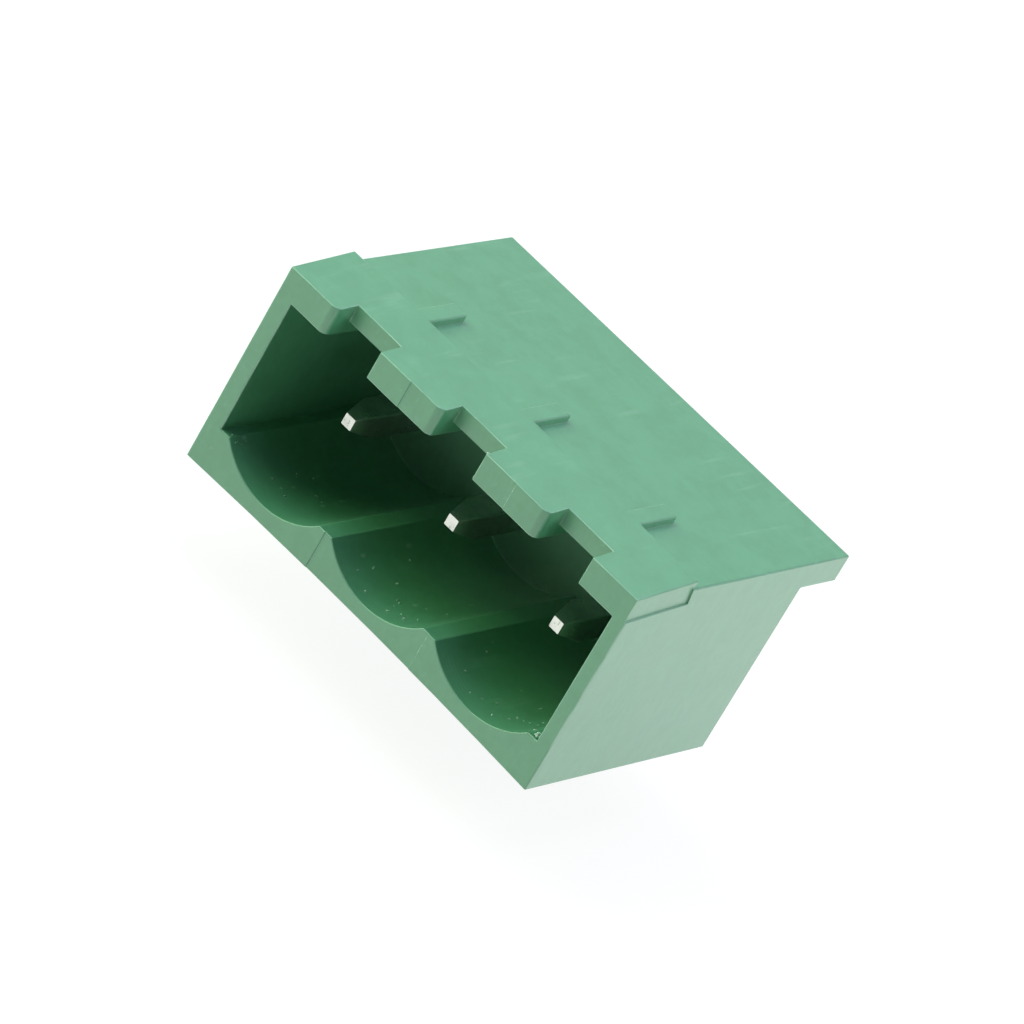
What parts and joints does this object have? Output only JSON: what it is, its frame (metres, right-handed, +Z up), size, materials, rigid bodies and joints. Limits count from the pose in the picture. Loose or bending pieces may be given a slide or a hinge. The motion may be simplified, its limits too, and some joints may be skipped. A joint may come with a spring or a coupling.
{
  "type": "pluggable terminal block header",
  "caption": "Right-angle board header of a pluggable terminal block: green moulded shroud with a keyed socket, and bent square contacts pressed through its rear wall.",
  "frame": {"origin": "middle of the housing's flat seat on the board, half way between its front face and the rear edges of its end walls", "axes": "+X along the row of contacts, -Y out of the socket's mouth, towards the plug, +Z up from the board; the solder legs point to -Z"},
  "size_m": [0.0167, 0.0113, 0.0111],
  "materials": {
    "green_polyamide": "satin moulded surface, pale green",
    "tinned_brass": "bright tin plating over brass"
  },
  "bodies": {
    "root": {"housing": "green_polyamide", "contact_pin_1": "tinned_brass", "contact_pin_2": "tinned_brass", "contact_pin_3": "tinned_brass"}
  },
  "joints": []
}
